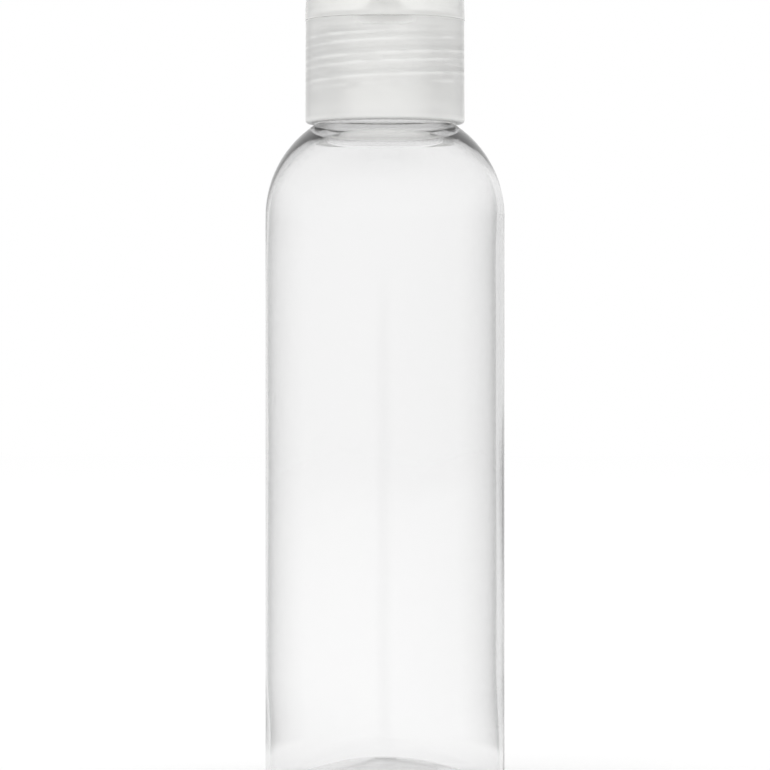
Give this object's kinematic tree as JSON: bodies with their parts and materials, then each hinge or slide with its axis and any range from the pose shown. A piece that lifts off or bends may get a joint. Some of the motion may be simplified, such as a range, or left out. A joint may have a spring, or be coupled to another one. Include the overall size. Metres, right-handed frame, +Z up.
{
  "type": "travel bottle",
  "caption": "Small clear round-shouldered travel bottle with a frosted screw-on flip-top cap and pour spout.",
  "frame": {"origin": "centre of the foot ring, on the surface that the bottle stands on", "axes": "+Z up the axis of the bottle, +Y towards the hinge of the lid, -Y towards the finger scoop"},
  "size_m": [0.035, 0.035, 0.1194],
  "materials": {
    "clear_pet": "gloss",
    "seal_foam": "matte",
    "frosted_pp": "satin"
  },
  "bodies": {
    "bottle": {"bottle": "clear_pet"},
    "seal": {"seal_ring": "seal_foam"},
    "closure": {"closure_body": "frosted_pp", "living_hinge": "frosted_pp"},
    "lid": {"flip_lid": "frosted_pp"}
  },
  "joints": [
    {"name": "cap_lift", "type": "slide", "parent": "bottle", "child": "seal", "axis": [0, 0, 1], "range_m": [0, 0.01429]},
    {"name": "cap_turn", "type": "hinge", "parent": "seal", "child": "closure", "pos_m": [0, 0, 0.1114], "axis": [0, 0, 1], "range_deg": [0, 1620]},
    {"name": "lid_flip", "type": "hinge", "parent": "closure", "child": "lid", "pos_m": [0, 0.01215, 0.1119], "axis": [-1, 0, 0], "range_deg": [0, 170], "deforming": ["living_hinge"]}
  ],
  "couplings": [
    {"joint": "cap_lift", "follows": "cap_turn", "m_per_rad": 0.00050532}
  ]
}
